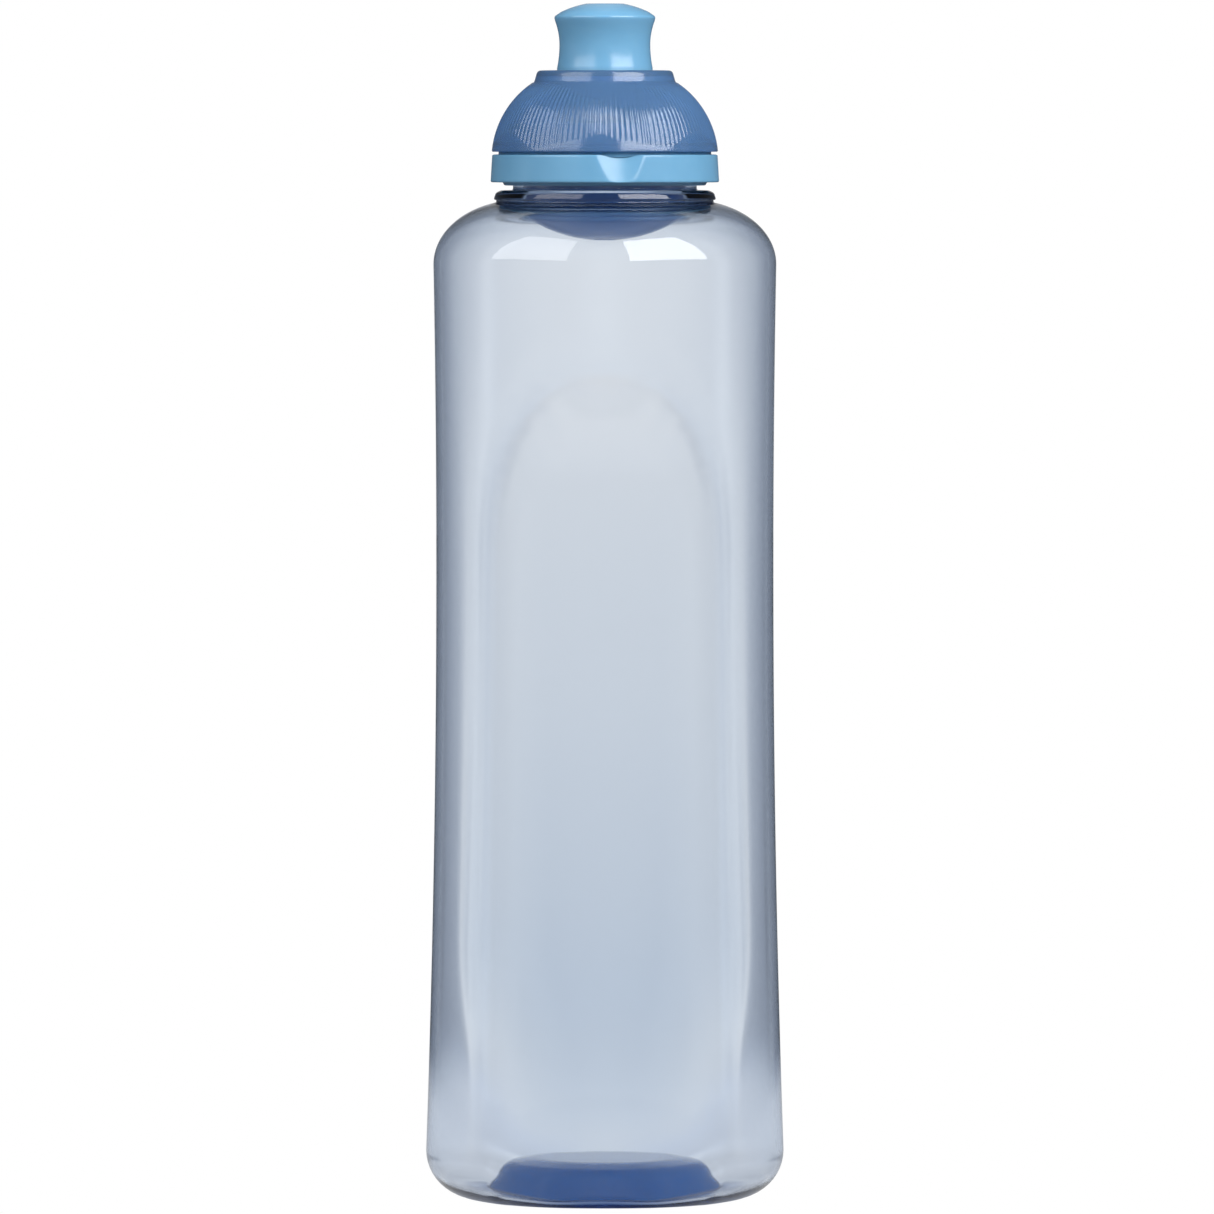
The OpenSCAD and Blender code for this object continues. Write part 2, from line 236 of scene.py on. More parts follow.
def box_bar(name, size, place, turn):
    """A straight bar with softened ends, size (x, y, z), centred at place and then turned about the axis."""
    half = Vector(size) / 2
    edge = min(size) * 0.12
    rings = []
    for z, inset in [(-half.z, edge), (edge - half.z, 0), (half.z - edge, 0), (half.z, edge)]:
        x, y = half.x - inset, half.y - inset
        rings.append([(x, -y, z), (x, y, z), (-x, y, z), (-x, -y, z)])
    rings = np.array(rings, float) + np.array(place, float)
    return skin(name, rings @ np.array(Matrix.Rotation(radians(turn), 3, "Z")).T, loop=False)


def helix_cutter(name, r_in, r_out, height, start, end, z_start, z_end):
    """A bar swept along a helix, for cutting a cam slot."""
    rings = []
    steps = 40
    for k in range(steps + 1):
        a = radians(start + (end - start) * k / steps)
        z = z_start + (z_end - z_start) * k / steps
        low, high = z - height / 2, z + height / 2
        section = [(r_in, low), (r_out, low), (r_out, high), (r_in, high)]
        rings.append([(r * cos(a), r * sin(a), level) for r, level in section])
    return skin(name, np.array(rings, float), loop=False)


# ---------------------------------------------------------------- materials


class Graph:
    """Shader nodes of one tree. Inputs are given by name or number, as values or as other nodes' outputs."""

    def __init__(self, tree):
        self.tree = tree
        tree.nodes.clear()

    def add(self, kind, inputs=None, **settings):
        node = self.tree.nodes.new("ShaderNode" + kind)
        for key, value in settings.items():
            setattr(node, key, value)
        for key, value in (inputs or {}).items():
            if isinstance(value, bpy.types.NodeSocket):
                self.tree.links.new(value, node.inputs[key])
            else:
                node.inputs[key].default_value = value
        return node

    def noise(self, place, scale, detail=3.0):
        made = self.add("TexNoise", {"Vector": place, "Scale": scale, "Detail": detail})
        return made.outputs[0]

    def between(self, factor, low, high):
        """factor 0.3 to 0.7, the usual spread of a noise, carried to low and high."""
        made = self.add("MapRange", {
            "Value": factor, "From Min": 0.3, "From Max": 0.7, "To Min": low, "To Max": high,
        })
        return made.outputs["Result"]

    def mix(self, factor, a, b):
        """Colour a where factor is 0 and b where it is 1, each a colour or a node's output."""
        made = self.add("Mix", {"Factor": factor}, data_type="RGBA")
        for socket, colour in zip([s for s in made.inputs if s.type == "RGBA"], (a, b)):
            if isinstance(colour, bpy.types.NodeSocket):
                self.tree.links.new(colour, socket)
            else:
                socket.default_value = (*colour, 1)
        return next(s for s in made.outputs if s.type == "RGBA")

    def maths(self, how, *values):
        return self.add("Math", dict(enumerate(values)), operation=how).outputs[0]

    def product(self, a, b):
        return self.maths("MULTIPLY", a, b)

    def pick(self, flag, yes, no):
        """yes where flag is 1, no where it is 0."""
        return self.add("Mix", {0: flag, 2: no, 3: yes}, data_type="FLOAT").outputs[0]

    def step(self, value, low, high, start=0.0, end=1.0):
        """A smooth step of value from start at low to end at high."""
        made = self.add(
            "MapRange", {"Value": value, "From Min": low, "From Max": high, "To Min": start, "To Max": end},
            interpolation_type="SMOOTHSTEP",
        )
        return made.outputs["Result"]

    def reach(self, x, y):
        """Distance of (x, y) from the middle."""
        flat = self.add("CombineXYZ", {"X": x, "Y": y}).outputs[0]
        return self.add("VectorMath", {0: flat}, operation="LENGTH").outputs["Value"]

    def parts(self, vector):
        return self.add("SeparateXYZ", {0: vector}).outputs


def new_material(name):
    made = bpy.data.materials.new(name)
    made.use_nodes = True
    graph = Graph(made.node_tree)
    return made, graph, graph.add("OutputMaterial")


def surface_bump(graph, place, scale, height):
    """A shallow bump, height in metres."""
    bump = graph.add("Bump", {"Height": graph.noise(place, scale, 4.0), "Distance": height, "Strength": 1.0})
    return bump.outputs["Normal"]


def low_disc(graph, place, radius, edge, top, fade):
    """1 near the axis and low down, 0 outside the radius or above the top. edge and fade soften them."""
    spot = graph.parts(place)
    across = graph.reach(spot["X"], spot["Y"])
    inside = graph.step(across, (radius - edge) * MM, (radius + edge) * MM, 1.0, 0.0)
    return graph.product(inside, graph.step(spot["Z"], (top - fade) * MM, (top + fade) * MM, 1.0, 0.0))


def in_panel(graph, place):
    """1 inside the outline of a grip panel, on the front and the back, and 0 outside it."""
    spot = graph.parts(place)
    above = graph.maths("MAXIMUM", graph.maths("SUBTRACT", spot["Z"], arch_z * MM), 0.0)
    rise = graph.maths("POWER", graph.maths("DIVIDE", above, arch_h * MM), arch_power / 2)
    reach = graph.reach(spot["X"], graph.product(rise, panel_half * MM))
    inside = graph.step(reach, (panel_half - panel_shade_in) * MM, (panel_half + panel_shade_out) * MM, 1.0, 0.0)
    return graph.product(inside, graph.step(spot["Z"], panel_shade_low * MM, panel_shade_high * MM))


def shell_painted_shade(graph, place, colour):
    """The bottle's colour and clearness, with painted shade: greyer panels, and a base in a deeper blue that
    is less clear.
    """
    # Painted shade on the grip panels, which are a little greyer.
    colour = graph.mix(in_panel(graph, place), colour, PANEL_SHADE)
    # Painted shade on the base: a deeper blue that is less clear.
    base = low_disc(graph, place, base_shade_r, base_shade_edge, base_shade_top, base_shade_fade)
    return graph.mix(base, colour, BASE_SHADE_BLUE), graph.maths("SUBTRACT", 1.0, graph.product(base, BASE_SHADE_CLOUD))


def cup_painted_shade(graph, place, colour):
    """Painted shade: the cup under the cap's deck, in a deeper blue than the ring."""
    in_cup = low_disc(graph, place, plug_r + cup_gap, cup_edge, deck_z - cup_gap, cup_fade)
    # Painted shade on the cup.
    return graph.mix(in_cup, colour, CUP_SHADE_BLUE)


def tinted_plastic(name, absorbed, density, roughness, ripple, body=WHITE, clear=1.0, vary=None):
    """Clear plastic. absorbed is the colour that it lets through, and vary changes its surface in places."""
    made, graph, output = new_material(name)
    place = graph.add("TexCoord").outputs["Object"]
    haze = graph.noise(place, 90.0)
    colour = graph.mix(haze, tuple(0.97 * part for part in body), body)
    if vary:
        colour, clear = vary(graph, place, colour)
    shader = graph.add("BsdfPrincipled", {
        "Base Color": colour,
        "Roughness": graph.between(haze, *roughness),
        "Normal": surface_bump(graph, place, 55.0, ripple),
        "IOR": 1.5,
        "Transmission Weight": clear,
    })
    volume = graph.add("VolumeAbsorption", {"Color": (*absorbed, 1), "Density": density})
    graph.tree.links.new(shader.outputs["BSDF"], output.inputs["Surface"])
    graph.tree.links.new(volume.outputs["Volume"], output.inputs["Volume"])
    return made


def moulded_plastic(name, dark, light, roughness, glow=0.12, vary=None):
    """Opaque moulded plastic with faint flow marks. vary changes its colour in places."""
    made, graph, output = new_material(name)
    place = graph.add("TexCoord").outputs["Object"]
    flow = graph.noise(place, 140.0)
    grain = graph.noise(place, 2600.0, 2.0)
    colour = graph.mix(graph.between(flow, 0.0, 1.0), dark, light)
    if vary:
        colour = vary(graph, place, colour)
    shader = graph.add("BsdfPrincipled", {
        "Base Color": colour,
        "Roughness": graph.between(grain, *roughness),
        "Normal": surface_bump(graph, place, 1500.0, 0.000001),
        "IOR": 1.49,
        "Subsurface Weight": glow,
        "Subsurface Radius": (0.6, 1.0, 1.4),
        "Subsurface Scale": 0.001,
    })
    graph.tree.links.new(shader.outputs["BSDF"], output.inputs["Surface"])
    return made


def smoke_blue():
    return tinted_plastic(
        "smoke_blue_clear", absorbed=(0.057, 0.311, 0.604), density=140.0,
        roughness=(0.03, 0.07), ripple=0.00002, vary=shell_painted_shade,
    )


def deep_blue():
    return tinted_plastic(
        "deep_blue_translucent", absorbed=(0.10, 0.38, 0.68), density=250.0,
        roughness=(0.15, 0.19), ripple=0.000001, body=(0.22, 0.45, 0.78), clear=0.78,
    )


def light_blue():
    return moulded_plastic(
        "light_blue_moulded", dark=(0.12, 0.288, 0.44), light=(0.134, 0.308, 0.462),
        roughness=(0.17, 0.21), vary=cup_painted_shade,
    )


def pale_blue():
    return moulded_plastic(
        "pale_blue_moulded", dark=(0.55, 0.68, 0.78), light=(0.62, 0.74, 0.83), roughness=(0.3, 0.4),
    )


def white_silicone():
    return moulded_plastic(
        "white_silicone", dark=(0.78, 0.8, 0.82), light=(0.85, 0.86, 0.87), roughness=(0.5, 0.6), glow=0.3,
    )


def grey_rubber():
    return moulded_plastic(
        "grey_rubber", dark=(0.05, 0.052, 0.056), light=(0.08, 0.082, 0.088), roughness=(0.5, 0.65), glow=0.0,
    )


# ---------------------------------------------------------------- pieces


def finish_piece(piece, body, node, material):
    """Gives a piece its material, and puts it in a CAD node's place on that node's body."""
    piece.data.materials.clear()
    piece.data.materials.append(material)
    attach(piece, body)
    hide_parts(node)


def body_radius(z):
    """Radius of the body before the panels are cut: a slight waist, fuller at the base and the shoulder."""
    below = waist_r + (base_r - waist_r) * ((waist_z - z) / (waist_z - foot_r)) ** 2
    above = waist_r + (shoulder_r - waist_r) * ((z - waist_z) / (shoulder_z - waist_z)) ** 2
    return np.where(z < waist_z, below, above)


def panel_distance(z):
    """Distance of a grip panel from the axis. Its outline is two upright edges and an arch."""
    q = 1 - (np.maximum(z - arch_z, 0) / arch_h) ** arch_power
    return np.sqrt(body_radius(np.maximum(z, foot_r)) ** 2 - panel_half**2 * q)


def panelled(radius, z, angle, inset):
    """Body radius at an angle, with the two flat grip panels and the shallow gutter round them cut in."""
    facing = np.maximum(np.abs(np.sin(angle)), 0.2)
    cut = soft_min(radius, (panel_distance(z) - inset) / facing, panel_blend)
    rise = panel_half * (np.maximum(z - arch_z, 0) / arch_h) ** (arch_power / 2)
    inside = panel_half - np.hypot(cut * np.cos(angle), rise)
    groove = np.exp(-(((inside - gutter_in) / gutter_w) ** 2))
    return cut - gutter_depth * groove * ramp(z, 4, 14)


def wall_at(z, angle):
    """Wall thickness of the blown body. The panels are thickest low down, and the sides are even."""
    panel = np.interp(z, *zip(*panel_walls))
    low_down = 1 - ramp(z, 20, 50)
    zone = ramp(np.abs(np.sin(angle)), 0.5 + 0.12 * low_down, 0.9 + 0.08 * low_down)
    return side_wall + (panel - side_wall) * zone


def punt_outside():
    """The punt's flat top with a nub and two faint rings, then a slope that steepens to the standing ring."""
    def top(r):
        nub = nub_h * (1 - ramp(r, 1.0, 1.6))
        return punt_h - nub - sum(mark_h * np.exp(-(((r - at) / mark_w) ** 2)) for at in mark_radii)

    flat = [(r, top(r)) for r in [0.4, 1.1, 1.5, 2.2, 4, 5.4, 5.8, 6.2, 7.4, 9.6, 10, 10.4, 11.4]]
    slope = rounded([
        (12, punt_h), (13.0, punt_h, 1.5), (17.6, punt_h - 1.2, 2), (21.2, 0.15, 1), (stand_in, 0),
    ], 6)
    return flat + slope[1:]


def punt_inside():
    """The same from inside the bottle: a flat top, then a slope down to the standing ring."""
    return rounded([
        (0.4, punt_top), (13.4, punt_top, 1.5), (18.6, punt_top - 1.2, 2.0), (22.4, ring_wall, 2.0),
        (stand_in + stand_rise, ring_wall),
    ], 6)


def body_rings(columns, inner):
    """Rings from the punt's middle to the top of the shoulder, on the inside of the wall or the outside."""
    angle = (np.arange(columns) * 2 * pi / columns)[None, :]
    inset = 1.0 if inner else 0.0

    def side(z):
        wall = inset * wall_at(z, angle)
        return panelled(body_radius(z) - wall, z, angle, wall)

    rows = []

    def add(r, z):
        r, z = r + 0 * angle, z + 0 * angle
        rows.append(np.stack([r * np.cos(angle), r * np.sin(angle), z], -1)[0])

    edge = side(np.full((1, 1), foot_r))
    corner = np.minimum(np.hypot(np.maximum(edge - (base_r - foot_r), 0), foot_tight), foot_r)
    full = stand_in + stand_rise * inset
    start = np.minimum(full, edge - corner) if inner else full + 0 * angle
    for r, z in punt_inside() if inner else punt_outside():
        add(r * (1 + (start / full - 1) * ramp(r, 14, full)), z)
    # Foot: a corner that is round on the sides and tighter under the panels.
    top = foot_r + foot_over
    for share in np.linspace(0, 1, 13):
        a = radians(-90 + 90 * share)
        add(edge - corner + corner * cos(a), ring_wall * inset * (1 - share) + corner * (1 + sin(a)))
    for i in (1, 2):
        z = corner + (top - corner) * i / 3
        add(side(z), z)
    # Body and shoulder.
    for z in np.linspace(top, shoulder_z - 2, 44 if inner else 66):
        add(side(np.full((1, 1), z)), z)
    centre = shoulder_r - shoulder_w
    across, up = shoulder_w - wall_at(shoulder_z, angle) * inset, shoulder_h - neck_root * inset
    reach = ((bore_r if inner else bead_r - 0.4) - centre) / across
    for share in np.linspace(0, 1, 23):
        a = np.arccos(reach) * share
        add(centre + across * np.cos(a), shoulder_z + up * np.sin(a))
    return np.array(rows)


def ridge(z, angle, start_z, first, last):
    """How far a thread's ridge stands up, 0 to 1. It is at start_z at turn 0, and ends at first and last."""
    best = 0 * z + 0 * angle
    for lap in range(int(np.ceil(last))):
        turns = angle / (2 * pi) + lap
        fade = ramp(np.minimum(turns - first, last - turns) * 360, 0, thread_fade)
        off = np.abs(z - (start_z + pitch * turns))
        best = np.maximum(best, fade * ramp(-off, -ridge_root, -ridge_crest))
    return best


def bottle(material):
    columns = 300
    outer = body_rings(columns, False)
    inner = body_rings(columns, True)
    bead = rounded([
        (bead_r - 0.4, bead_z, 0.25), (bead_r, bead_z + 0.25, 0.3), (bead_r - 0.35, bead_top - 0.5, 0.35),
        (bead_r - 1.3, bead_top, 0.4), (neck_r, bead_top + 0.05, 0.4), (neck_r, bead_top + 0.8),
    ])[1:]
    threaded = [(neck_r, z) for z in np.linspace(bead_top + 1.0, rim_z - 1.2, 36)]
    rim = rounded([(neck_r, rim_z - 0.9), (neck_r, rim_z, 0.5), (bore_r, rim_z, 0.4), (bore_r, rim_z - 0.9)])
    bore = [(bore_r, z) for z in np.linspace(rim_z - 2, bead_z - 0.4, 8)]

    def shape(r, z, angle):
        lift = ridge(z, angle, thread_z, *neck_turns)
        on_neck = (r > bore_r + 1.2) & (z > bead_top + 0.9) & (z < rim_z - 1)
        return np.where(on_neck, neck_r + thread_depth * lift, r), z

    neck = spin(bead + threaded + rim + bore, columns, shape)
    rings = np.concatenate([outer, neck, inner[::-1]])
    piece = skin("bottle", rings, loop=False)
    finish_piece(piece, "bottle", "bottle_shell", material)


def gasket(material):
    section = [(seal_r, rim_z, 0.2), (seal_r, deck_z, 0.2), (seal_in, deck_z, 0.2), (seal_in, rim_z, 0.2)]
    piece = skin("sealing_ring", spin(rounded(section), 160))
    finish_piece(piece, "seal", "neck_gasket", material)


# Cap base, worked out from the neck it screws on to.
skirt_in = neck_r + thread_depth + 0.3
skirt_r = skirt_in + 1
ring_z = bead_top + 1.5
skirt_z = ring_z - 0.6
ring_h = 5.2
ring_top = ring_z + ring_h
step_r, step_top = skirt_r + 0.5, ring_top + 0.65
cap_thread_z, cap_turns = thread_z - 1.5, (0.4, 1.5)
deck_top = deck_z + 1.4
guide_r, guide_bore = 7.0, 4.8
# Groove round the guide tube, the O-ring in it, and the two slots along the tube for the spout's keys.
groove_z, groove_half, groove_depth = deck_top + 9, 0.75, 1.2
o_ring_r, o_ring_half = 6.5, 0.7
key_slot_half, key_slot_depth = 1.0, 0.7
plug_in, plug_r = 14.2, 15.2
cup_h, cup_wall, cup_hole = 5.9, 1.1, 2.5
# How far past the cup's side and short of the deck its painted shade ends, and how soft its edges are.
cup_gap, cup_edge, cup_fade = 0.3, 0.15, 0.2
notch_angle, notch_depth, notch_cone_r = radians(-90 + 8), 1.17, 30
dip_depth, dip_r = 0.45, 17


def notched(r, z, angle):
    """The V-shaped thumb notch: a cone laid against the ring, and a shallow dip in the ring's top edge."""
    off = (angle - notch_angle + pi) % (2 * pi) - pi
    across = r * np.sin(np.clip(off, -0.5, 0.5))
    away = ring_r - notch_depth + notch_cone_r
    size = notch_cone_r - 1 + np.clip((z - ring_z) / ring_h, 0, 1)
    near = np.abs(off) < 0.4
    cone = away * np.cos(off) - np.sqrt(np.maximum(size**2 - (away * np.sin(off)) ** 2, 1))
    on_ring = near & (r > skirt_r + 1.2) & (z <= ring_top + 0.01)
    r = np.where(on_ring, soft_min(r, cone, 0.12), r)
    dip = ring_top - dip_depth + dip_r - np.sqrt(np.maximum(dip_r**2 - across**2, 1))
    on_top = near & (r > step_r + 0.05) & (z > ring_top - 0.8) & (z <= ring_top + 0.01)
    return r, np.where(on_top, soft_min(z, dip, 0.1), z)


def cup(r):
    """Height of the outside of the cup's dished bottom at a radius."""
    round_r = (plug_r**2 + cup_h**2) / (2 * cup_h)
    return cup_low + round_r - np.sqrt(round_r**2 - r**2)


def cap_base(material):
    dish = np.linspace(cup_hole, plug_in, 9)
    groove_low, groove_high = groove_z - groove_half, groove_z + groove_half

    def longest(r):
        """Short stretches where the notch and the thread are, and longer ones elsewhere."""
        return 0.42 if r > skirt_r + 0.5 or abs(r - skirt_in) < 0.1 else 1.4

    section = finer(rounded([
        (skirt_in, skirt_z, 0.15), (skirt_r - 0.6, skirt_z, 0.2), (skirt_r, ring_z + 0.4, 0.3),
        (skirt_r, ring_top - 2.5, 0.4), (skirt_r + 0.85, ring_top - 2.5, 0.4), (skirt_r + 0.85, ring_z, 0.3),
        (ring_r, ring_z, 0.35), (ring_r - 0.3, ring_top - 0.1, 0.4), (ring_r - 0.7, ring_top, 0.3),
        (step_r, ring_top, 0.15), (step_r, step_top, 0.2), (skirt_r, step_top, 0.2),
        (skirt_r, ring_top + 2, 0.1), (skirt_r + 0.25, ring_top + 2.15, 0.1),
        (skirt_r + 0.25, ring_top + 2.4, 0.1), (skirt_r, ring_top + 2.8, 0.2),
        (skirt_r, deck_z - 1, 0.8), (skirt_r - 1.2, deck_top, 0.8),
        (guide_r, deck_top, 0.5), (guide_r, groove_low, 0.1),
        (guide_r - groove_depth, groove_low, 0.1), (guide_r - groove_depth, groove_high, 0.1),
        (guide_r, groove_high, 0.1), (guide_r, guide_top, 0.3),
        (guide_bore, guide_top, 0.2), (guide_bore, deck_z, 0.4), (plug_in, deck_z, 0.4),
        *[(r, cup(r) + cup_wall) for r in dish[::-1]], *[(r, cup(r)) for r in dish],
        (plug_r, cup(plug_r), 0.5), (plug_r, deck_z, 0.2), (skirt_in, deck_z, 0.2),
    ]), longest)

    def shape(r, z, angle):
        lift = ridge(z, angle, cap_thread_z, *cap_turns)
        on_thread = (np.abs(r - skirt_in) < 0.05) & (z > skirt_z + 0.2) & (z < deck_z - 0.3)
        r = np.where(on_thread, skirt_in - thread_depth * lift, r)
        in_slot = (np.abs(r * np.sin(angle)) < key_slot_half) & (r > guide_r - 0.3) & (r < guide_r + 0.2)
        in_slot &= (z > deck_top + 0.3) & (z < deck_top + 7.7)
        r = np.where(in_slot, guide_r - key_slot_depth, r)
        return notched(r, z, angle)

    piece = skin("cap_base_moulding", spin(section, 360, shape))
    finish_piece(piece, "cap", "cap_base", material)


# Dome, with the sleeve inside it that the cam slots are cut in. Its outer and inner arcs end in degrees.
dome_r, dome_wall = 17.45, 1.1
dome_centre = (3.8, ring_top - 1.06)
dome_end, dome_end_in = 56, 55
collar_r, collar_wall = 13.0, 1.4
sleeve_in, sleeve_r, sleeve_z = 9.15, 10.35, deck_top + 0.6
rib_count, rib_depth, rib_columns = 124, 0.13, 6
wave_count, wave_h, wave_turn = 6, 2.3, radians(-93)
# Cam slots: the lug's height, how far it rises over what turn in degrees, and the slot's overrun and width.
lug_z = spout_z + 1.6
slot_lift, slot_turn, slot_over, slot_w = 4.5, 90, 7, 2.3


def ribbed(r, z, angle):
    """Fine flutes on the outside of the dome, down to a smooth wavy band round its foot."""
    wave = wave_h * (0.5 + 0.5 * np.cos(wave_count * (angle - wave_turn)))
    low = ring_top + 1.3 + wave
    strength = ramp(z, low - 0.15, low + 0.45) * (1 - ramp(z, collar_top - 3.6, collar_top - 2.6))
    outside = np.hypot(r - dome_centre[0], z - dome_centre[1]) > dome_r - 0.3
    on_side = outside & (z > dome_z + 0.2) & (z < collar_top - 2.2) & (r > collar_r - 0.2)
    flute = 0.5 - 0.5 * np.cos(angle * rib_count)
    depth = np.where(on_side, rib_depth * strength * flute, 0)
    slope = np.arctan2(z - dome_centre[1], r - dome_centre[0])
    return r - depth * np.cos(slope), z - depth * np.sin(slope)


def dome(material):
    inner = dome_r - dome_wall
    foot = degrees(np.arcsin((dome_z - dome_centre[1]) / dome_r))
    foot_in = degrees(np.arcsin((dome_z + 1.6 - dome_centre[1]) / inner))
    outside = arc(dome_centre, dome_r, foot + 0.6, dome_end, 36)
    collar = rounded([
        (collar_r + 0.5, collar_top - 2.4, 0.25), (collar_r + 0.2, collar_top - 2.1, 0.2),
        (collar_r - 0.4, collar_top, 0.7), (sleeve_in, collar_top, 0.35),
    ], 8)
    inside = finer(rounded([
        (sleeve_in, collar_top - 1, 0.2), (sleeve_in, sleeve_z, 0.2), (sleeve_r, sleeve_z, 0.2),
        (sleeve_r, collar_top - collar_wall, 0.3), (collar_r - collar_wall, collar_top - collar_wall, 0.4),
    ]), 1.0, closed=False) + arc(dome_centre, inner, dome_end_in, foot_in, 16)
    hook = rounded([
        (skirt_r + 0.1, dome_z + 1.3, 0.2), (skirt_r + 0.1, step_top + 0.05, 0.1),
        (step_r + 0.2, step_top + 0.05, 0.1), (step_r + 0.2, dome_z, 0.15),
        (dome_foot_r - 0.02, dome_z, 0.15),
    ])
    rings = spin(outside + collar + inside + hook, rib_count * rib_columns, ribbed)
    piece = skin("dome_moulding", rings)
    rise = slot_lift / slot_turn
    slots = [
        helix_cutter(
            f"slot_{side}", sleeve_in - 0.4, sleeve_r + 0.4, slot_w,
            side - slot_turn - slot_over, side + slot_over,
            lug_z + rise * (slot_turn + slot_over), lug_z - rise * slot_over,
        )
        for side in (90, 270)
    ]
    combine(piece, slots, "DIFFERENCE")
    finish_piece(piece, "dome", "dome", material)


# Spout: a flared foot, a waist and a rounded lip, with two lugs and two keys.
barrel_r, spout_waist_r, lip_r = 8.95, 8.5, 9.5
spout_bore, mouth_r = 7.25, 2.7
flare_z, lip_z = collar_top + 0.4, collar_top + 9.7
spout_waist_z = collar_top + 4.8
crown_r, crown_z = 19, lip_z + 3.1
lug_root, peg_r = 8.45, 0.9
key_size = (1.2, 1.6, 1.8)


def spout_side(z):
    """Outside radius of the spout at a height."""
    end_r, end_z = (barrel_r, flare_z) if z < spout_waist_z else (lip_r, lip_z)
    return spout_waist_r + (end_r - spout_waist_r) * ((z - spout_waist_z) / (end_z - spout_waist_z)) ** 2


def crown(r):
    """Height of the lip's crowned top at a radius."""
    return crown_z - crown_r + np.sqrt(crown_r**2 - r**2)


def lug(turn):
    """A round peg on the spout's barrel, pointing outwards, that runs in a cam slot."""
    length = lug_r - lug_root
    peg = skin(f"lug_{turn}", spin(rounded([
        (0.01, 0), (peg_r, 0, 0.1), (peg_r, length, 0.15), (0.01, length),
    ]), 48), loop=False)
    peg.data.transform(
        Matrix.Rotation(radians(turn), 4, "Z")
        @ Matrix.Translation((lug_root * MM, 0, lug_z * MM))
        @ Matrix.Rotation(radians(90), 4, "Y")
    )
    return peg


def spout(material):
    edge, lip_low = lip_r - 0.15, lip_z - 0.5
    wall = [(spout_side(z), z) for z in np.linspace(flare_z, lip_low, 22)]
    lip = rounded([
        (spout_side(lip_low), lip_low), (lip_r, lip_z + 0.35, 0.7), (edge - 1.2, crown(edge - 1.2), 0.9),
        (edge - 2.0, crown(edge - 2.0)),
    ], 8)[1:-1]
    top = [(r, crown(r)) for r in np.linspace(edge - 2.4, mouth_r + 0.8, 12)]
    chamber = spout_bore - 0.65
    inside = rounded([
        (mouth_r, crown(mouth_r) - 0.05, 0.5), (mouth_r, lip_z + 0.7, 0.3), (mouth_r + 1.2, lip_z + 0.4, 0.5),
        (chamber, lip_z - 1.6, 1.2), (chamber, guide_top + 1.4, 0.3), (spout_bore, guide_top + 0.5, 0.3),
        (spout_bore, spout_z, 0.2), (barrel_r, spout_z, 0.3),
    ])
    piece = skin("spout_moulding", spin(wall + lip + top + inside, 240))
    extras = [lug(turn) for turn in (90, 270)]
    for turn in (0, 180):
        extras.append(box_bar(f"key_{turn}", key_size, (guide_r + 0.15, 0, spout_z + 0.9), turn))
    combine(piece, extras, "UNION")
    finish_piece(piece, "spout", "spout", material)


# Stem up the middle of the spout, and the pin on its end that the tip seal sits on.
stem_r, stem_z = 2.2, guide_top - 2.8
pin_r, pin_z, pin_top = 1.6, lip_z + 0.1, lip_z + 1.9


def stem(material):
    rod = skin("valve_stem_moulding", spin(rounded([
        (0.01, stem_z), (stem_r - 0.8, stem_z, 0.3), (stem_r, stem_z + 0.8, 0.3),
        (stem_r, lip_z - 0.7, 0.2), (stem_r - 0.2, pin_z, 0.1), (pin_r, pin_z, 0.05), (pin_r, pin_top, 0.2),
        (0.01, pin_top),
    ]), 96), loop=False)
    ring = skin("stem_ring", spin(rounded([
        (guide_bore, guide_top - 4, 0.15), (guide_bore, guide_top, 0.15),
        (guide_bore - 0.9, guide_top, 0.15), (guide_bore - 0.9, guide_top - 4, 0.15),
    ]), 96))
    spokes = [
        box_bar(f"spoke_{turn}", (guide_bore - 0.4, 1, 2), ((guide_bore - 0.4) / 2, 0, guide_top - 1), turn)
        for turn in (30, 150, 270)
    ]
    combine(rod, [ring, *spokes], "UNION")
    finish_piece(rod, "cap", "valve_stem", material)


def o_ring(material):
    piece = skin("sliding_o_ring", spin(arc((o_ring_r, groove_z), o_ring_half, 0, 345, 23), 120))
    finish_piece(piece, "cap", "stem_o_ring", material)


def tip(material):
    r, top = mouth_r - 0.15, crown_z - 0.35
    section = rounded([
        (0.01, pin_top), (pin_r, pin_top, 0.1), (pin_r, pin_z, 0.1), (r, pin_z, 0.15),
        (r, top - 0.1, 0.8), (0.5, top, 0.1), (0.01, top),
    ], 6)
    piece = skin("tip_seal_moulding", spin(section, 96), loop=False)
    finish_piece(piece, "cap", "tip_seal", material)


# ---------------------------------------------------------------- stage


def camera():
    """A little below the height of the bottle's top, looking slightly down, with all of it in view."""
    eye, aim = Vector((0.0004, -1.85, 0.200)), Vector((0.0004, 0, 0.1107))
    view_size, sensor = 0.2277, 36
    data = bpy.data.cameras.new("camera")
    data.sensor_width = sensor
    data.lens = sensor * (aim - eye).length / view_size
    made = bpy.data.objects.new("camera", data)
    made.location = eye
    made.rotation_euler = (aim - eye).to_track_quat("-Z", "Y").to_euler()
    bpy.context.scene.collection.objects.link(made)
    bpy.context.scene.camera = made


def softbox(name, azimuth, power):
    """An upright rectangular lamp facing the bottle's axis. Azimuth 0 is in front, and 90 is on the right."""
    distance, size, height = 1.2, (1.3, 1.7), 1.3
    a = radians(azimuth)
    aim = Vector((0, 0, height))
    place = aim + distance * Vector((sin(a), -cos(a), 0))
    data = bpy.data.lights.new(name, "AREA")
    data.shape = "RECTANGLE"
    data.size, data.size_y = size
    data.energy = power
    made = bpy.data.objects.new(name, data)
    made.location = place
    made.rotation_euler = (aim - place).to_track_quat("-Z", "Y").to_euler()
    made.visible_camera = False
    made.visible_transmission = False
    bpy.context.scene.collection.objects.link(made)


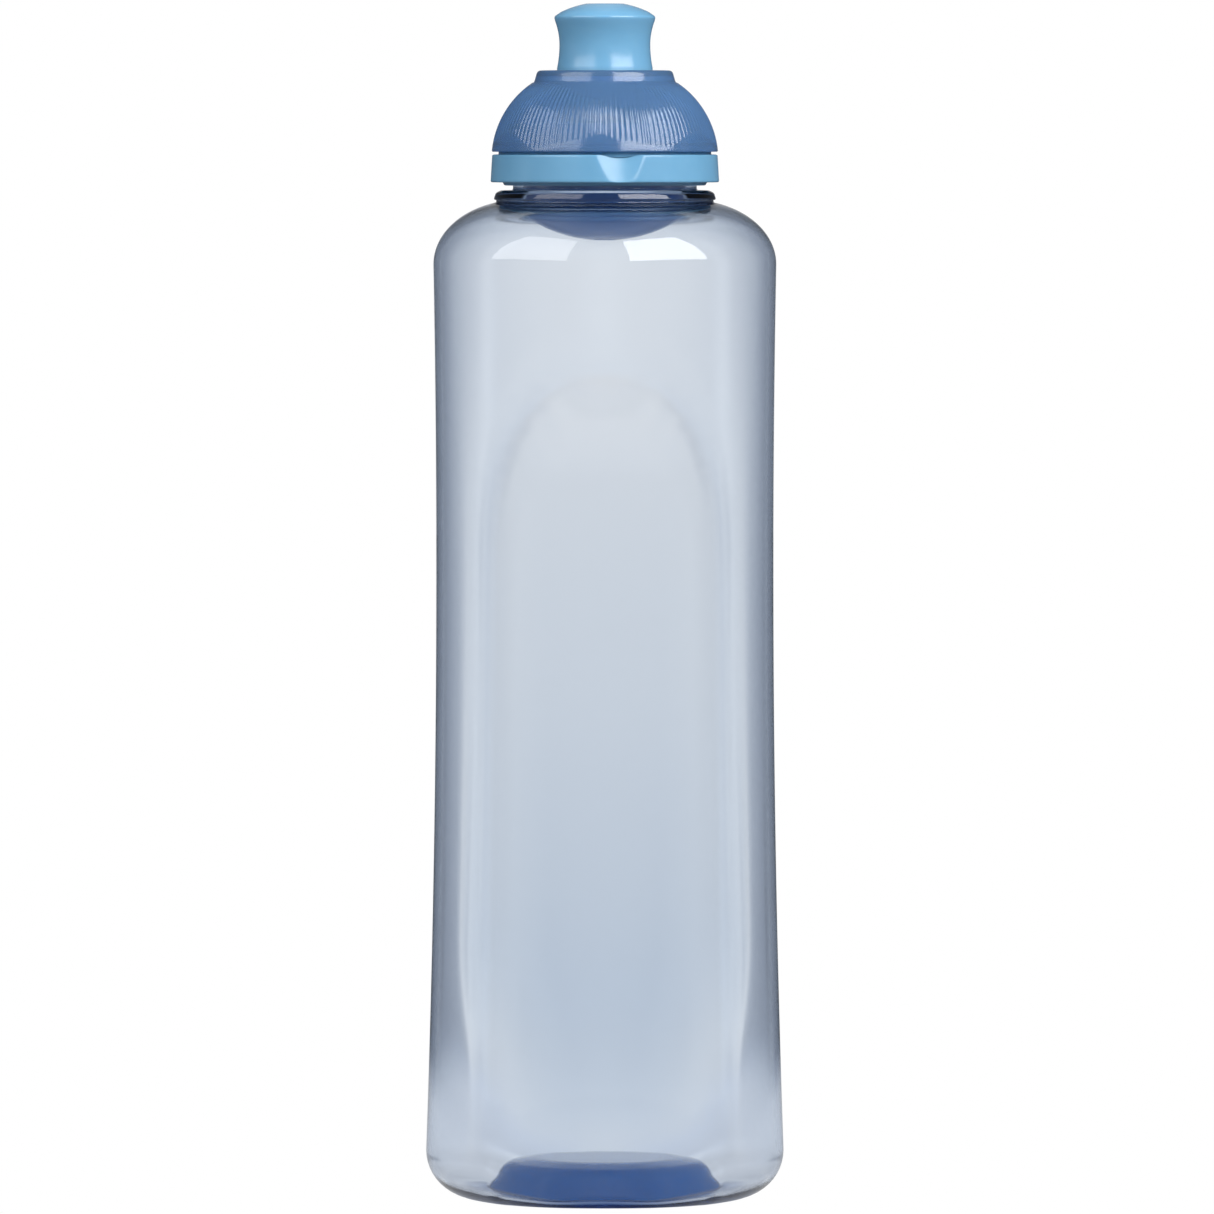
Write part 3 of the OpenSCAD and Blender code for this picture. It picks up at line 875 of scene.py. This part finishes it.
def backlight(graph, way, front):
    """1 behind the bottle and at both sides, within some 15 degrees, and front straight ahead, softer."""
    flat = graph.add("VectorMath", {0: way, 1: (1, 1, 0)}, operation="MULTIPLY").outputs[0]
    unit = graph.parts(graph.add("VectorMath", {0: flat}, operation="NORMALIZE").outputs[0])
    nearest = graph.maths("MAXIMUM", graph.maths("ABSOLUTE", unit["X"]), unit["Y"])
    behind = graph.maths("POWER", nearest, BACK_FOCUS)
    towards = graph.maths("MAXIMUM", graph.product(unit["Y"], -1.0), 0.0)
    return graph.maths("MAXIMUM", behind, graph.product(graph.maths("POWER", towards, FRONT_FOCUS), front))


def world():
    """White to the camera. Through the bottle it is a lit backdrop with pale sides; reflections are dim."""
    made = bpy.data.worlds.new("studio")
    made.use_nodes = True
    graph = Graph(made.node_tree)
    way = graph.add("TexCoord").outputs["Generated"]
    level = graph.step(graph.maths("ABSOLUTE", graph.parts(way)["Z"]), 0.75, 0.97, 1.0, 0.0)
    lit = graph.product(backlight(graph, way, FRONT), level)
    mirrored = graph.product(backlight(graph, way, 0.0), level)
    ray = graph.add("LightPath").outputs
    strength = graph.pick(ray["Is Glossy Ray"], graph.pick(mirrored, BACK_SHINE, REFLECTED), SOFT)
    strength = graph.pick(ray["Is Transmission Ray"], graph.pick(lit, 1.0, THROUGH), strength)
    strength = graph.pick(ray["Is Camera Ray"], 1.0, strength)
    colour = graph.mix(ray["Is Camera Ray"], graph.mix(lit, SIDE_TINT, WHITE), WHITE)
    shader = graph.add("Background", {"Color": colour, "Strength": strength})
    output = graph.add("OutputWorld")
    graph.tree.links.new(shader.outputs[0], output.inputs["Surface"])
    bpy.context.scene.world = made


def pale_floor():
    """White to the camera. Through the plastic it has a painted pool of light near the bottle, a faint
    painted contact shadow, and a dark painted shadow right under it.
    """
    material, graph, output = new_material("pale_floor")
    place = graph.add("NewGeometry").outputs["Position"]
    away = graph.add("VectorMath", {0: place}, operation="LENGTH").outputs["Value"]
    # Painted light near the bottle, a faint painted contact shadow round it, and a dark painted shadow right
    # under it.
    near = graph.step(away, 0.2, 0.36, 1.0, 0.0)
    contact_shadow = graph.step(away, 0.03, 0.13, 0.88, 1.0)
    under = graph.step(away, 0.022, 0.03, 1.0, 0.0)
    back = backlight(graph, place, FRONT)
    through = graph.pick(back, 1.0, graph.product(contact_shadow, graph.pick(near, FLOOR_THROUGH, THROUGH)))
    ray = graph.add("LightPath").outputs
    seen = ray["Is Camera Ray"]
    strength = graph.pick(ray["Is Glossy Ray"], graph.pick(near, FLOOR_SHINE, REFLECTED), SOFT)
    strength = graph.pick(ray["Is Transmission Ray"], through, strength)
    pale = graph.maths("MAXIMUM", back, graph.product(near, 0.6))
    # Painted shadow right under the bottle, in a dim blue.
    colour = graph.mix(under, graph.mix(pale, SIDE_TINT, WHITE), UNDER_SHADOW)
    bright = graph.add("Emission", {
        "Color": graph.mix(seen, colour, WHITE), "Strength": graph.pick(seen, 1.0, strength),
    })
    clear = graph.add("BsdfTransparent")
    below = graph.add("NewGeometry").outputs["Backfacing"]
    both = graph.add("MixShader", {0: below, 1: bright.outputs[0], 2: clear.outputs[0]})
    graph.tree.links.new(both.outputs[0], output.inputs["Surface"])
    return material


def floor():
    """A wide pale floor, clear from underneath."""
    half = 3.0
    mesh = bpy.data.meshes.new("floor")
    corners = [(-half, -half, 0), (half, -half, 0), (half, half, 0), (-half, half, 0)]
    mesh.from_pydata(corners, [], [(0, 1, 2, 3)])
    mesh.materials.append(pale_floor())
    made = bpy.data.objects.new("floor", mesh)
    bpy.context.scene.collection.objects.link(made)


def studio():
    camera()
    world()
    floor()
    softbox("key_right", azimuth=45, power=52)
    softbox("fill_left", azimuth=-54, power=24)
    scene = bpy.context.scene
    scene.view_settings.view_transform = "Standard"
    scene.cycles.max_bounces = 24
    scene.cycles.transmission_bounces = 24
    scene.cycles.glossy_bounces = 8
    scene.cycles.use_denoising = True


# ---------------------------------------------------------------- build

cap_blue, silicone = light_blue(), white_silicone()
bottle(smoke_blue())
gasket(silicone)
cap_base(cap_blue)
dome(deep_blue())
spout(cap_blue)
stem(pale_blue())
o_ring(grey_rubber())
tip(silicone)
studio()
